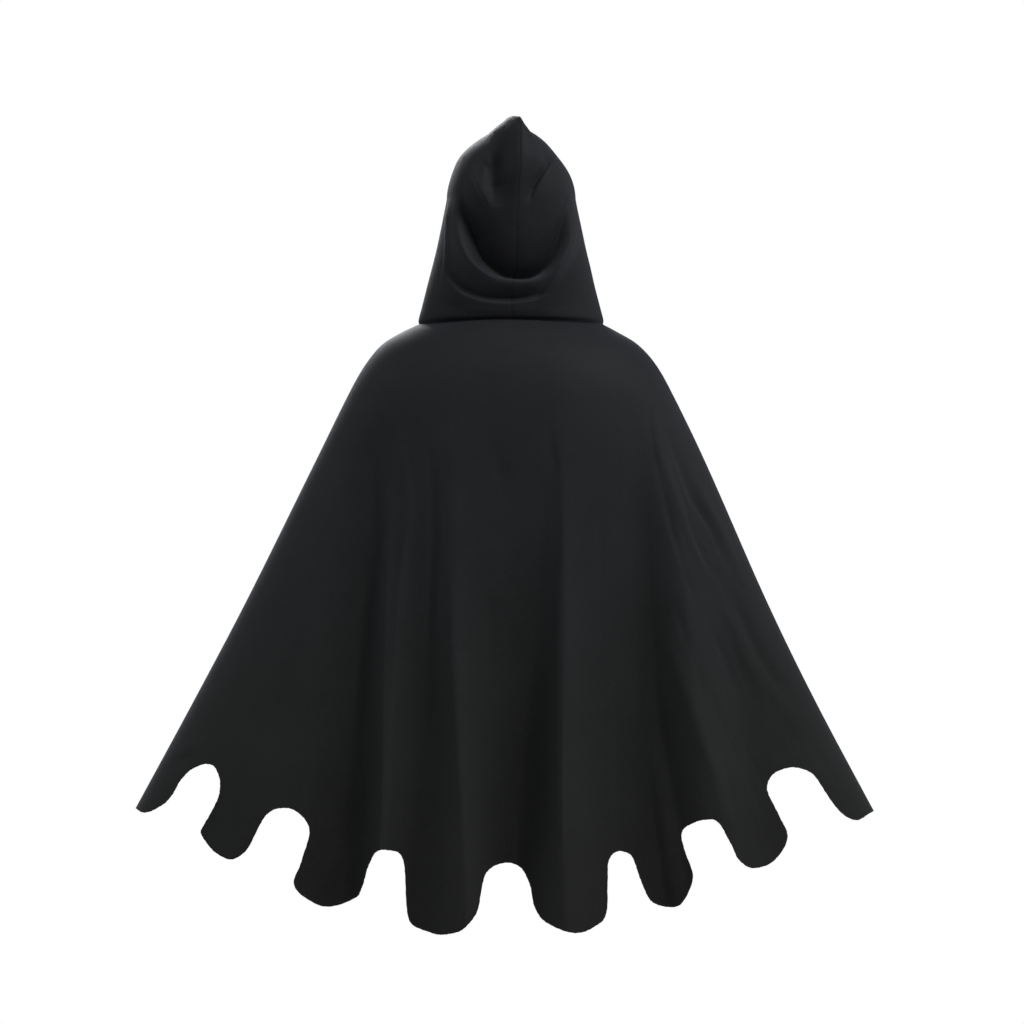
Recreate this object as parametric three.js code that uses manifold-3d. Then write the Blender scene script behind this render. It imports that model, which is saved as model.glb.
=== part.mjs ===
// Hooded cloak in its worn form, with no wearer: a back, two fronts, a two-piece pointed hood and a button.
// Every cloth piece is a thin wall on one of two surfaces, the cape and the hood, each worked out from a
// table of sections and a table of folds. Millimetres, Z up. The wearer faces -Y, so their left is +X.
// The origin is the middle of the neckline, where the wearer's neck and shoulders hold the cloak up.
import * as THREE from 'three';
import { mergeVertices } from 'three/addons/utils/BufferGeometryUtils.js';
import Module from 'manifold-3d';

const clothThickness = 2;
const seamGap = 0.3;
const clothColour = 0x232425;
const buttonColour = 0x18181a;
const degree = Math.PI / 180;

// A table of rows, each given the names of its columns.
function table(names, rows) {
  return rows.map((row) => Object.fromEntries(names.map((name, i) => [name, row[i]])));
}

// The cape from the neckline (share 0) to just below the hem (share 1). leftX and rightX are half widths at
// the side seams, where the height is sideZ. backY, backZ and frontY, frontZ are the middle of the back and
// front. fullness squares the section off.
const capeSections = table(
  ['share', 'leftX', 'rightX', 'sideZ', 'backY', 'backZ', 'frontY', 'frontZ', 'fullness'],
  [
    [0, 136, 136, 0.6, 77, 4, -76, -60, 0],
    [0.033, 159, 156, -10, 97, -15, -90, -84, 0.05],
    [0.075, 189, 186, -28, 116, -47, -103, -119, 0.12],
    [0.114, 211, 210, -53, 127, -80, -110, -153, 0.18],
    [0.165, 233, 232, -89, 134, -126, -115, -198, 0.2],
    [0.31, 286, 283, -200, 141, -258, -121, -329, 0.16],
    [0.58, 388, 374, -406, 158, -504, -134, -572, 0.08],
    [0.78, 465, 445, -554, 174, -684, -148, -751, 0.03],
    [1, 565, 543, -740, 194, -890, -166, -950, 0],
  ],
);

// Folds of the cape, in order round each panel. chest, waist and hem say where a fold lies, as a share of
// the half width (+ to the wearer's left), height is how far it stands out (+) or in (-) at the hem, and
// from is the share where it starts.
const backFolds = [
  { chest: -0.92, waist: -0.86, hem: -0.74, height: -7, from: 0.2 },
  { chest: -0.83, waist: -0.69, hem: -0.58, height: 13, from: 0.12 },
  { chest: -0.73, waist: -0.52, hem: -0.42, height: -22, from: 0.12 },
  { chest: -0.3, waist: -0.195, hem: -0.138, height: 21, from: 0.14 },
  { chest: -0.19, waist: -0.08, hem: 0.0, height: -25, from: 0.18 },
  { chest: 0.37, waist: 0.21, hem: 0.108, height: 15, from: 0.16 },
  { chest: 0.48, waist: 0.335, hem: 0.262, height: -11, from: 0.14 },
  { chest: 0.66, waist: 0.46, hem: 0.335, height: 13, from: 0.16 },
  { chest: 0.76, waist: 0.56, hem: 0.42, height: -15, from: 0.14 },
  { chest: 0.86, waist: 0.79, hem: 0.66, height: 12, from: 0.12 },
];
const frontLeftFolds = [
  { chest: 0.84, waist: 0.8, hem: 0.76, height: 12, from: 0.14 },
  { chest: 0.7, waist: 0.63, hem: 0.57, height: -17, from: 0.16 },
  { chest: 0.52, waist: 0.46, hem: 0.4, height: 18, from: 0.12 },
  { chest: 0.34, waist: 0.28, hem: 0.24, height: -15, from: 0.16 },
  { chest: 0.15, waist: 0.13, hem: 0.12, height: 10, from: 0.2 },
];
const frontRightFolds = [
  { chest: -0.14, waist: -0.14, hem: -0.14, height: 12, from: 0.2 },
  { chest: -0.31, waist: -0.29, hem: -0.27, height: -17, from: 0.14 },
  { chest: -0.5, waist: -0.45, hem: -0.41, height: 15, from: 0.16 },
  { chest: -0.68, waist: -0.61, hem: -0.55, height: -18, from: 0.12 },
  { chest: -0.84, waist: -0.8, hem: -0.75, height: 13, from: 0.14 },
];
const foldPlaces = { chest: 0.2, waist: 0.58, hem: 1 };
const foldsFullAt = 0.85;

// The cut hem as it looks from behind, from the wearer's left seam to the right: x and z of a smooth line
// along each lobe and each notch in turn. It is drawn as seen from eye, and back and fronts are cut to it.
const hemParts = [
  { part: 'lobe', line: [[556, -714], [541, -721], [519, -712], [503, -698]] },
  { part: 'notch', line: [[488, -673], [472, -657], [451, -649], [437, -655], [430, -678], [435, -704]] },
  { part: 'lobe', line: [[454, -739], [458, -752], [440, -777], [414, -790], [390, -775]] },
  { part: 'notch', line: [[369, -735], [355, -719], [336, -714], [316, -720], [298, -746], [310, -793]] },
  { part: 'lobe', line: [[321, -827], [299, -850], [269, -860], [232, -848], [221, -834]] },
  { part: 'notch', line: [[211, -801], [200, -780], [186, -776], [164, -782], [157, -806]] },
  { part: 'lobe', line: [[155, -850], [148, -884], [116, -899], [98, -901], [72, -894], [50, -867]] },
  { part: 'notch', line: [[41, -822], [31, -804], [9, -795], [-13, -801], [-27, -825]] },
  { part: 'lobe', line: [[-36, -863], [-55, -885], [-95, -899], [-126, -888], [-141, -870]] },
  { part: 'notch', line: [[-143, -828], [-144, -795], [-152, -781], [-164, -778], [-179, -786]] },
  { part: 'lobe', line: [[-189, -813], [-203, -846], [-220, -858], [-250, -857], [-269, -817]] },
  { part: 'notch', line: [[-256, -774], [-253, -749], [-270, -736], [-292, -731], [-307, -736]] },
  { part: 'lobe', line: [[-324, -765], [-338, -792], [-360, -803], [-390, -791], [-409, -758]] },
  { part: 'notch', line: [[-398, -728], [-379, -687], [-389, -663], [-418, -654], [-446, -664]] },
  { part: 'lobe', line: [[-465, -691], [-486, -719], [-510, -732], [-535, -719]] },
];
const eye = { distance: 5000, z: -276 };
const hemStepsPerPoint = 2;
// The fronts are cut this much shorter than the line, so that none of them shows below the back. It runs
// out towards the side seams.
const frontShortfall = { depth: 4, fromX: 480, toX: 540 };

// How far short of the middle each front stops. Below zero it laps over, as both do at the neck only.
const lapHalfWidth = 13;
const lapLift = clothThickness + 2 * seamGap;
// The upper front eases down onto the plain section between these distances from the middle.
const lapEase = { start: lapHalfWidth + 4, end: 65 };
const frontEdges = [
  { share: 0.0, inset: -lapHalfWidth },
  { share: 0.045, inset: -lapHalfWidth },
  { share: 0.16, inset: -2 },
  { share: 0.4, inset: 14 },
  { share: 1.0, inset: 38 },
];

// The hood from the neck seam (rise 0) to the temples (rise 1). halfWidth is at the ears, where the height
// is sideZ. faceX, faceY and faceZ are the face edge, backY and backZ the seam down the middle of the back.
const hoodSections = table(
  ['rise', 'halfWidth', 'sideZ', 'backY', 'backZ', 'faceX', 'faceY', 'faceZ'],
  [
    [0, 136, 1.4, 77, 4.6, 15, -76, -58],
    [0.035, 136.5, 7, 85, 9, 19, -82, -53],
    [0.14, 131, 28, 88, 24, 38, -93, -28],
    [0.4, 119, 76, 97, 68, 66, -106, 34],
    [0.7, 106, 131, 106, 128, 81, -114, 106],
    [1, 95, 185, 112, 186, 79, -114, 174],
  ],
);
const hoodFullness = 0.12;
// Above the temples (rise 1 to 2) the sections close over the crown, up to the seam from forehead to peak.
const crown = { height: 104, power: 1.1, forehead: { y: -101, z: 266 }, peak: { y: 80, z: 283 } };
const headMiddleZ = 185;

// The pointed peak is a fin of cloth along the middle seam, highest at peakAngle about the middle of the
// head (0 at the back, 90 on top). It slopes off over leftWidth on one side and drops steeply on the other.
const peakFin = {
  height: 19, peakAngle: 50, lowAngle: -16, highAngle: 112, leftWidth: 40, rightWidth: 11, hollow: 1.7,
};
// The seam leans to the wearer's right as it nears the peak, between these heights, and comes partly back.
const seamLean = {
  x: -14, startZ: 150, fullZ: 235, backZ: 255, peakZ: 283, backShare: 0.3, spread: 48 * degree,
};

// Swags where the spare cloth hangs behind the neck: half ellipses seen from behind, open upwards. lip is
// how far each stands out along its curve, over outside below it and inside above it, where a pocket
// sinks in.
const hoodSwags = [
  { topZ: 190, bottomZ: 69, halfWidth: 84, lip: 15, pocket: -10, inside: 22, outside: 32 },
  { topZ: 104, bottomZ: 33, halfWidth: 94, lip: 7, pocket: -4, inside: 14, outside: 24 },
];
const pocketReach = 3.2;
const swagFade = { above: 20, over: 60 };
const swagRise = { start: 0.03, full: 0.2 };
const swagY = { start: 15, full: 62 };

// The button sits on the lap, at this share of the way down the front.
const neckButton = {
  radius: 10, thickness: 4, rimRadius: 1.2, holeRadius: 1.1, holeSpacing: 4, share: 0.021,
};
const buttonSides = 28;
const holeSides = 10;

// How finely the walls are divided. More of each grid lies where the shape turns most.
const columnsPerFold = 4;
const capeGrid = { rows: 17, closeness: 0.55, power: 1.7 };
const hoodGrid = { columns: 20, closeness: 0.55, power: 1.7, bindRise: 0.04, neckRows: 22, crownRows: 10 };
// Surfaces are read this far inside their top and bottom edges to find which way the cloth faces.
const edgeMargin = { cape: 0.005, hood: 0.02 };

const wasm = await Module();
wasm.setup();

const clamp = THREE.MathUtils.clamp;
const smooth = THREE.MathUtils.smoothstep;

// A column of a table at any place between its rows, on a smooth curve through them.
function column(rows, key, name, at) {
  const last = rows.length - 1;
  let i = 0;
  while (i < last - 1 && at > rows[i + 1][key]) i += 1;
  const slope = (j) => {
    const a = rows[Math.max(j - 1, 0)];
    const b = rows[Math.min(j + 1, last)];
    return (b[name] - a[name]) / (b[key] - a[key]);
  };
  const from = rows[i];
  const to = rows[i + 1];
  const span = to[key] - from[key];
  const t = clamp((at - from[key]) / span, 0, 1);
  const bend = t * t * (3 - 2 * t);
  const curve = from[name] * (1 - bend) + to[name] * bend;
  const leave = slope(i) * span * t * (1 - t) * (1 - t);
  const arrive = slope(i + 1) * span * t * t * (1 - t);
  return curve + leave - arrive;
}

// Where a fold lies at one share of the way down, on a parabola through its chest, waist and hem places.
function foldPlace(fold, share) {
  const { chest, waist, hem } = foldPlaces;
  const s = Math.max(share, chest);
  const atChest = ((s - waist) * (s - hem)) / ((chest - waist) * (chest - hem));
  const atWaist = ((s - chest) * (s - hem)) / ((waist - chest) * (waist - hem));
  const atHem = ((s - chest) * (s - waist)) / ((hem - chest) * (hem - waist));
  return fold.chest * atChest + fold.waist * atWaist + fold.hem * atHem;
}

// One place on a panel: at counts along its folds, from its first edge to its last. The answer is the angle
// round to the place from the middle of the back, and how far the cloth stands out there.
function foldAt(folds, edges, at, share) {
  const marks = folds.map((fold) => {
    const place = Math.asin(clamp(foldPlace(fold, share), -1, 1));
    return {
      turn: edges.isBack ? place : edges.side * Math.PI - place,
      height: fold.height * smooth(share, fold.from, foldsFullAt),
    };
  });
  const all = [{ turn: edges.first, height: 0 }, ...marks, { turn: edges.last, height: 0 }];
  const i = clamp(Math.floor(at), 0, all.length - 2);
  const t = at - i;
  return {
    turn: THREE.MathUtils.lerp(all[i].turn, all[i + 1].turn, t),
    height: THREE.MathUtils.lerp(all[i].height, all[i + 1].height, smooth(t, 0, 1)),
  };
}

// A point of the cape. turn is the angle round from the middle of the back, + to the wearer's left, and
// height is how far the cloth stands out from the plain section there.
function capePoint(turn, share, height) {
  const at = (name) => column(capeSections, 'share', name, share);
  const side = Math.sin(turn);
  const along = Math.cos(turn);
  const isBack = along >= 0;
  const half = side > 0 ? at('leftX') : at('rightX');
  const depth = isBack ? at('backY') : -at('frontY');
  const endZ = isBack ? at('backZ') : at('frontZ');
  const sideZ = at('sideZ');
  const outward = new THREE.Vector2(side * depth, along * half).normalize();
  return new THREE.Vector3(
    half * side + outward.x * height,
    depth * along * (1 + at('fullness') * side * side) + outward.y * height,
    sideZ + (endZ - sideZ) * along * along,
  );
}

// Crown sections: rise runs on from 1 at the temples to 2 at the middle seam.
function hoodSection(rise) {
  const temple = hoodSections.at(-1);
  if (rise <= 1) {
    const at = (name) => column(hoodSections, 'rise', name, rise);
    return {
      halfWidth: at('halfWidth'), sideZ: at('sideZ'), backY: at('backY'), backZ: at('backZ'),
      faceX: at('faceX'), faceY: at('faceY'), faceZ: at('faceZ'),
    };
  }
  const angle = (rise - 1) * 90 * degree;
  const up = Math.sin(angle) ** crown.power;
  const across = Math.max(Math.cos(angle), 0) ** crown.power;
  const toward = (from, to) => to + (from - to) * across;
  return {
    halfWidth: temple.halfWidth * across,
    sideZ: temple.sideZ + crown.height * up,
    backY: toward(temple.backY, crown.peak.y),
    backZ: temple.backZ + (crown.peak.z - temple.backZ) * up,
    faceX: temple.faceX * across,
    faceY: toward(temple.faceY, crown.forehead.y),
    faceZ: temple.faceZ + (crown.forehead.z - temple.faceZ) * up,
  };
}

// How far the fin stands out at a place, where off is the distance from the seam, + to the wearer's left.
function finHeight(point, off) {
  const angle = Math.atan2(point.z - headMiddleZ, point.y) / degree;
  const { height, peakAngle, lowAngle, highAngle, leftWidth, rightWidth, hollow } = peakFin;
  const isBehind = angle < peakAngle;
  const rising = isBehind ? smooth(angle, lowAngle, peakAngle) : 1 - smooth(angle, peakAngle, highAngle);
  const away = off > 0 ? off / leftWidth : -off / rightWidth;
  return height * rising * clamp(1 - away, 0, 1) ** hollow;
}

// How far a swag stands out at a place. off is the distance from its lip, + below and outside it: how far
// round the ellipse is passed, over how fast that grows there.
function swagHeight(swag, x, z) {
  const reach = swag.topZ - swag.bottomZ;
  const least = 0.2;
  const round = Math.max(Math.hypot(x / swag.halfWidth, (z - swag.topZ) / reach), least);
  const growth = Math.hypot(x / swag.halfWidth ** 2, (z - swag.topZ) / reach ** 2) / round;
  const off = (round - 1) / Math.max(growth, least / swag.halfWidth);
  const fade = smooth(swag.topZ + swagFade.above - z, 0, swagFade.over);
  const lip = off > 0 ? 1 - smooth(off, 0, swag.outside) : 1 - smooth(-off, 0, swag.inside);
  const pocket = smooth(-off, 0, swag.inside) * (1 - smooth(-off, swag.inside, pocketReach * swag.inside));
  return fade * (swag.lip * lip + swag.pocket * pocket);
}

// How far to the side the middle seam lies where its height is z.
function seamX(z) {
  const { x, startZ, fullZ, backZ, peakZ, backShare } = seamLean;
  return x * smooth(z, startZ, fullZ) * (1 - backShare * smooth(z, backZ, peakZ));
}

// A point of the hood. turn is the share of the way from the middle of the back (0) to the face (1 or -1).
function hoodPoint(turn, rise) {
  const section = hoodSection(rise);
  const width = Math.max(section.halfWidth, 1e-3);
  const faceTurn = Math.PI - Math.asin(clamp(section.faceX / width, -1, 1));
  const angle = turn * faceTurn;
  const side = Math.sin(angle);
  const along = Math.cos(angle);
  const behind = Math.max(along, 0);
  const forward = along < 0 ? along / Math.cos(faceTurn) : 0;
  const toBack = (section.backZ - section.sideZ) * behind * behind;
  const toFace = (section.faceZ - section.sideZ) * forward * forward;
  const point = new THREE.Vector3(
    section.halfWidth * side + seamX(section.backZ) * Math.exp(-((angle / seamLean.spread) ** 2)),
    section.backY * behind * (1 + hoodFullness * side * side) + section.faceY * forward,
    section.sideZ + toBack + toFace,
  );
  const awayFromHead = new THREE.Vector3(0, point.y, Math.max(point.z - headMiddleZ, 0)).normalize();
  const outward = new THREE.Vector3(section.backY * side, section.halfWidth * along, 0).normalize();
  const swags = hoodSwags.reduce((sum, swag) => sum + swagHeight(swag, point.x, point.z), 0);
  const swagShare = smooth(point.y, swagY.start, swagY.full) * smooth(rise, swagRise.start, swagRise.full);
  point.addScaledVector(awayFromHead, finHeight(point, section.halfWidth * side));
  return point.addScaledVector(outward, swags * swagShare);
}

// The way out of the cloth at a place, from the surface on each side of it.
function outwardAt(pointAt, u, v) {
  const step = 0.004;
  const across = pointAt(u + step, v).sub(pointAt(u - step, v));
  const down = pointAt(u, v + step).sub(pointAt(u, v - step));
  return across.cross(down).normalize();
}

// Whether a quad of four points bends less across its first and third point than across the other two.
function bendsLessOnFirst(a, b, c, d) {
  const facing = (p, q, r) => new THREE.Triangle(p, q, r).getNormal(new THREE.Vector3());
  return facing(a, b, c).dot(facing(a, c, d)) >= facing(a, b, d).dot(facing(b, c, d));
}

// A closed cloth wall over the grid of us and vs, from its outside at pointAt to its inside at innerAt.
function clothWall(pointAt, innerAt, us, vs) {
  const outer = us.map((u) => vs.map((v) => pointAt(u, v)));
  const inner = us.map((u) => vs.map((v) => innerAt(u, v)));
  const positions = [];
  const faces = [];
  const number = new Map();
  const add = (point) => {
    number.set(point, positions.length / 3);
    positions.push(point.x, point.y, point.z);
  };
  outer.flat().forEach(add);
  inner.flat().forEach(add);
  const quad = (a, b, c, d, useFirst = true) => {
    const [p, q, r, s] = [a, b, c, d].map((point) => number.get(point));
    if (useFirst) faces.push(p, q, r, p, r, s);
    else faces.push(p, q, s, q, r, s);
  };
  for (let i = 0; i < us.length - 1; i += 1) {
    for (let j = 0; j < vs.length - 1; j += 1) {
      const corners = [outer[i][j], outer[i + 1][j], outer[i + 1][j + 1], outer[i][j + 1]];
      const useFirst = bendsLessOnFirst(...corners);
      quad(...corners, useFirst);
      quad(inner[i][j], inner[i][j + 1], inner[i + 1][j + 1], inner[i + 1][j], useFirst);
    }
  }
  const endU = us.length - 1;
  const endV = vs.length - 1;
  for (let i = 0; i < endU; i += 1) {
    quad(inner[i][0], inner[i + 1][0], outer[i + 1][0], outer[i][0]);
    quad(outer[i][endV], outer[i + 1][endV], inner[i + 1][endV], inner[i][endV]);
  }
  for (let j = 0; j < endV; j += 1) {
    quad(outer[0][j], outer[0][j + 1], inner[0][j + 1], inner[0][j]);
    quad(inner[endU][j], inner[endU][j + 1], outer[endU][j + 1], outer[endU][j]);
  }
  const geometry = new THREE.BufferGeometry();
  geometry.setAttribute('position', new THREE.Float32BufferAttribute(positions, 3));
  geometry.setIndex(faces);
  return geometry;
}

function toSolid(geometry) {
  const bare = new THREE.BufferGeometry();
  bare.setAttribute('position', geometry.getAttribute('position').clone());
  if (geometry.index) bare.setIndex(geometry.index.clone());
  const merged = mergeVertices(bare, 1e-3);
  return new wasm.Manifold(new wasm.Mesh({
    numProp: 3,
    vertProperties: new Float32Array(merged.getAttribute('position').array),
    triVerts: new Uint32Array(merged.index.array),
  }));
}

function toGeometry(solid) {
  const mesh = solid.getMesh();
  const geometry = new THREE.BufferGeometry();
  geometry.setAttribute('position', new THREE.Float32BufferAttribute(mesh.vertProperties, 3));
  geometry.setIndex(Array.from(mesh.triVerts));
  return geometry;
}

// The cut line of the hem as drawn, or moved up into the cloth for the fronts.
function hemLine(isFront) {
  const places = hemParts.flatMap(({ line }) => line);
  const drawn = new THREE.SplineCurve(places.map(([x, z]) => new THREE.Vector2(x, z)));
  const steps = hemStepsPerPoint * (drawn.points.length - 1);
  const { depth, fromX, toX } = frontShortfall;
  return spread(0, 1, steps).map((t) => {
    const point = drawn.getPoint(t);
    const along = drawn.getTangent(t);
    const intoCloth = new THREE.Vector2(along.y, -along.x);
    const moved = isFront ? depth * (1 - smooth(Math.abs(point.x), fromX, toX)) : 0;
    return point.addScaledVector(intoCloth, moved);
  });
}

// Everything below the cut line, on the back or on the front, as a block to take away from a wall. It
// narrows towards the eye, as the lines of sight do.
function belowHem(isFront) {
  const reach = 700;
  const floor = -1200;
  const line = hemLine(isFront);
  const shape = new THREE.Shape();
  shape.moveTo(reach, floor);
  shape.lineTo(reach, line[0].y);
  line.forEach((point) => shape.lineTo(point.x, point.y));
  shape.lineTo(-reach, line.at(-1).y);
  shape.lineTo(-reach, floor);
  const block = new THREE.ExtrudeGeometry(shape, { depth: reach, bevelEnabled: false });
  block.rotateX(90 * degree);
  block.translate(0, isFront ? 1 : reach - 1, 0);
  const corners = block.getAttribute('position');
  for (let i = 0; i < corners.count; i += 1) {
    const closer = 1 - corners.getY(i) / eye.distance;
    corners.setX(i, corners.getX(i) * closer);
    corners.setZ(i, eye.z + (corners.getZ(i) - eye.z) * closer);
  }
  return block;
}

// Evenly spread numbers from one end to the other.
function spread(from, to, steps) {
  return Array.from({ length: steps + 1 }, (_, i) => THREE.MathUtils.lerp(from, to, i / steps));
}

// The same, closer together near the first end.
function spreadClose(from, to, steps, { closeness, power }) {
  const at = (t) => closeness * t ** power + (1 - closeness) * t;
  return spread(0, 1, steps).map((t) => THREE.MathUtils.lerp(from, to, at(t)));
}

function clothMesh(name, geometry) {
  const finish = { color: clothColour, roughness: 0.92, side: THREE.DoubleSide };
  const mesh = new THREE.Mesh(geometry, new THREE.MeshStandardMaterial(finish));
  mesh.name = name;
  return mesh;
}

// One cape panel, from its function of place and share, cut along the hem and set half a seam gap off the
// sides.
function makeCapePanel(name, panelAt, gaps, isFront) {
  const onPanel = (at, share) => {
    const { turn, height } = panelAt(at, share);
    return capePoint(turn, share, height);
  };
  const layer = (depth) => (at, share) => {
    const outward = outwardAt(onPanel, at, clamp(share, edgeMargin.cape, 1 - edgeMargin.cape));
    return onPanel(at, share).addScaledVector(outward, panelAt(at, share).lift - depth);
  };
  const columns = spread(0, gaps, gaps * columnsPerFold);
  const rows = spreadClose(0, 1, capeGrid.rows, capeGrid);
  const wall = clothWall(layer(0), layer(clothThickness), columns, rows);
  const cut = toSolid(wall).subtract(toSolid(belowHem(isFront)));
  const mesh = clothMesh(name, toGeometry(cut));
  mesh.position.y = ((isFront ? -1 : 1) * seamGap) / 2;
  return mesh;
}

function makeBack() {
  const edges = { isBack: true, first: -90 * degree, last: 90 * degree };
  const panelAt = (at, share) => ({ ...foldAt(backFolds, edges, at, share), lift: 0 });
  return makeCapePanel('back', panelAt, backFolds.length + 1, false);
}

// One front, between the side seam and its own edge. The wearer's left one laps over the right at the neck.
function makeFront(name, folds, side) {
  const isLeft = side > 0;
  const ownLift = isLeft ? lapLift : 0;
  const panelAt = (at, share) => {
    const half = column(capeSections, 'share', isLeft ? 'leftX' : 'rightX', share);
    const inset = Math.asin(column(frontEdges, 'share', 'inset', share) / half);
    const seam = side * 90 * degree;
    const edge = side * (180 * degree - inset);
    const edges = { isBack: false, side, first: isLeft ? seam : edge, last: isLeft ? edge : seam };
    const place = foldAt(folds, edges, at, share);
    const beyondLap = smooth(half * Math.abs(Math.sin(place.turn)), lapEase.start, lapEase.end);
    return { ...place, lift: ownLift * (1 - beyondLap) };
  };
  return makeCapePanel(name, panelAt, folds.length + 1, true);
}

// The inside of the hood at a place. It keeps to its own side of the seam, as the fin is narrower than two
// walls, and at the seam the wall is cut square. Rise grows upwards, so the surface is read the other way
// round.
function hoodInner(side, turn, rise) {
  const seam = hoodPoint(0, rise);
  const inward = outwardAt(hoodPoint, turn, clamp(rise, edgeMargin.hood, 2 - edgeMargin.hood));
  if (turn === 0) return seam.addScaledVector(inward.setX(0).normalize(), clothThickness);
  const point = hoodPoint(turn, rise).addScaledVector(inward, clothThickness);
  point.x = side * Math.max(side * point.x, side * seam.x);
  return point;
}

// One half of the hood, with its columns closest at the middle seam, where the fin is steep.
function makeHoodHalf(name, side) {
  const { columns, bindRise, neckRows, crownRows } = hoodGrid;
  const fromSeam = spreadClose(0, side, columns, hoodGrid);
  const turns = side > 0 ? fromSeam.reverse() : fromSeam;
  const rises = [0, ...spread(bindRise, 1, neckRows), ...spread(1, 2, crownRows).slice(1)];
  const wall = clothWall(hoodPoint, (turn, rise) => hoodInner(side, turn, rise), turns, rises);
  const mesh = clothMesh(name, wall);
  mesh.position.x = (side * seamGap) / 2;
  return mesh;
}

// A round button with a rim and four sewing holes, seated on the lap at the throat.
function makeButton() {
  const { radius, thickness, rimRadius, holeRadius, holeSpacing, share } = neckButton;
  const profile = [
    [0, 0], [radius - rimRadius, 0], [radius, rimRadius], [radius, thickness - rimRadius],
    [radius - rimRadius, thickness], [radius - 2 * rimRadius, thickness],
    [radius - 3 * rimRadius, thickness - rimRadius], [0, thickness - rimRadius],
  ].map(([x, y]) => new THREE.Vector2(x, y));
  let solid = toSolid(new THREE.LatheGeometry(profile, buttonSides));
  for (const [x, z] of [[1, 1], [1, -1], [-1, 1], [-1, -1]]) {
    const hole = new THREE.CylinderGeometry(holeRadius, holeRadius, 4 * thickness, holeSides);
    hole.translate((x * holeSpacing) / 2, 0, (z * holeSpacing) / 2);
    solid = solid.subtract(toSolid(hole));
  }
  const button = new THREE.Mesh(toGeometry(solid), new THREE.MeshStandardMaterial({
    color: buttonColour, roughness: 0.4, metalness: 0,
  }));
  button.name = 'neck_button';
  const out = outwardAt((turn, at) => capePoint(turn, at, 0), 180 * degree, share);
  button.position.copy(capePoint(180 * degree, share, 0)).addScaledVector(out, lapLift + seamGap);
  button.quaternion.setFromUnitVectors(new THREE.Vector3(0, 1, 0), out);
  return button;
}

const cloak = new THREE.Group();
cloak.add(
  makeBack(),
  makeFront('front_left', frontLeftFolds, 1),
  makeFront('front_right', frontRightFolds, -1),
  makeHoodHalf('hood_left', 1),
  makeHoodHalf('hood_right', -1),
  makeButton(),
);

export default cloak;
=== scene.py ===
import math
import bmesh
import bpy
import numpy as np
from mathutils import Matrix, Vector


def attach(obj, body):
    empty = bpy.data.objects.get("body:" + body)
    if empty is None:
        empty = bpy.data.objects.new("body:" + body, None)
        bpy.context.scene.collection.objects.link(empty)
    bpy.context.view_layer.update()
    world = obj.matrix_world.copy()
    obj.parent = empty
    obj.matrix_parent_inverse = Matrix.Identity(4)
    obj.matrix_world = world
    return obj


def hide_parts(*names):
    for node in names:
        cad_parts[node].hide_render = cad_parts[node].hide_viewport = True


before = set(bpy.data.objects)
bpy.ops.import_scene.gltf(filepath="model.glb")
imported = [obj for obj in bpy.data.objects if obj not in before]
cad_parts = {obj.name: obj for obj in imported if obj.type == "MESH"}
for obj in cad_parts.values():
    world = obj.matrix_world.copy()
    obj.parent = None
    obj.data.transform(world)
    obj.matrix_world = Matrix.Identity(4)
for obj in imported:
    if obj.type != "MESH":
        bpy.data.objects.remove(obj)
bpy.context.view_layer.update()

# A hooded cloak hanging as it is worn, seen from behind. Tables are in mm, and everything is made in metres.
scene = bpy.context.scene
mm = 0.001

view = {"height": -0.2764, "side": -0.0015, "distance": 5.0, "frameWidth": 1.5135, "sensor": 36.0, "sees": 60}
floor = {"height": -1.45, "radius": 2.4, "colour": (0.86, 0.86, 0.86, 1), "roughness": 0.8}
world = {"light": 0.13, "tint": (0.95, 0.97, 1.0, 1)}
lightsAim = (0, 0, -0.35)
lights = [
    {"name": "keyLight", "at": (-2.6, 2.2, 2.7), "size": 1.1, "power": 190},
    {"name": "leftSoft", "at": (2.9, 1.9, 2.6), "size": 2.2, "power": 74},
    {"name": "rightRim", "at": (-2.8, -0.9, 0.5), "size": 1.6, "power": 11},
    {"name": "leftRim", "at": (2.8, -0.9, 0.5), "size": 1.6, "power": 10},
    {"name": "frontSoft", "at": (1.0, -3.6, 1.9), "size": 2.0, "power": 130},
]


def addObject(name, data):
    made = bpy.data.objects.new(name, data)
    scene.collection.objects.link(made)
    return made


def makeCamera():
    data = bpy.data.cameras.new("backCamera")
    data.sensor_width = view["sensor"]
    data.lens = view["sensor"] * view["distance"] / view["frameWidth"]
    data.clip_end = view["sees"]
    made = addObject("backCamera", data)
    made.location = (view["side"], view["distance"], view["height"])
    made.rotation_euler = (math.radians(90), 0, math.radians(180))
    scene.camera = made


def makeLight(name, at, size, power):
    data = bpy.data.lights.new(name, "AREA")
    data.shape = "DISK"
    data.size = size
    data.energy = power
    made = addObject(name, data)
    made.location = at
    made.rotation_euler = (Vector(lightsAim) - Vector(at)).to_track_quat("-Z", "Y").to_euler()


def makeWorld():
    paleRoom = bpy.data.worlds.new("paleRoom")
    scene.world = paleRoom
    paleRoom.use_nodes = True
    nodes, links = paleRoom.node_tree.nodes, paleRoom.node_tree.links
    nodes.clear()
    path = nodes.new("ShaderNodeLightPath")
    seen = nodes.new("ShaderNodeBackground")
    seen.inputs["Color"].default_value = (1, 1, 1, 1)
    shining = nodes.new("ShaderNodeBackground")
    shining.inputs["Color"].default_value = world["tint"]
    shining.inputs["Strength"].default_value = world["light"]
    mix = nodes.new("ShaderNodeMixShader")
    out = nodes.new("ShaderNodeOutputWorld")
    links.new(path.outputs["Is Camera Ray"], mix.inputs["Fac"])
    links.new(shining.outputs[0], mix.inputs[1])
    links.new(seen.outputs[0], mix.inputs[2])
    links.new(mix.outputs[0], out.inputs["Surface"])


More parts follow.
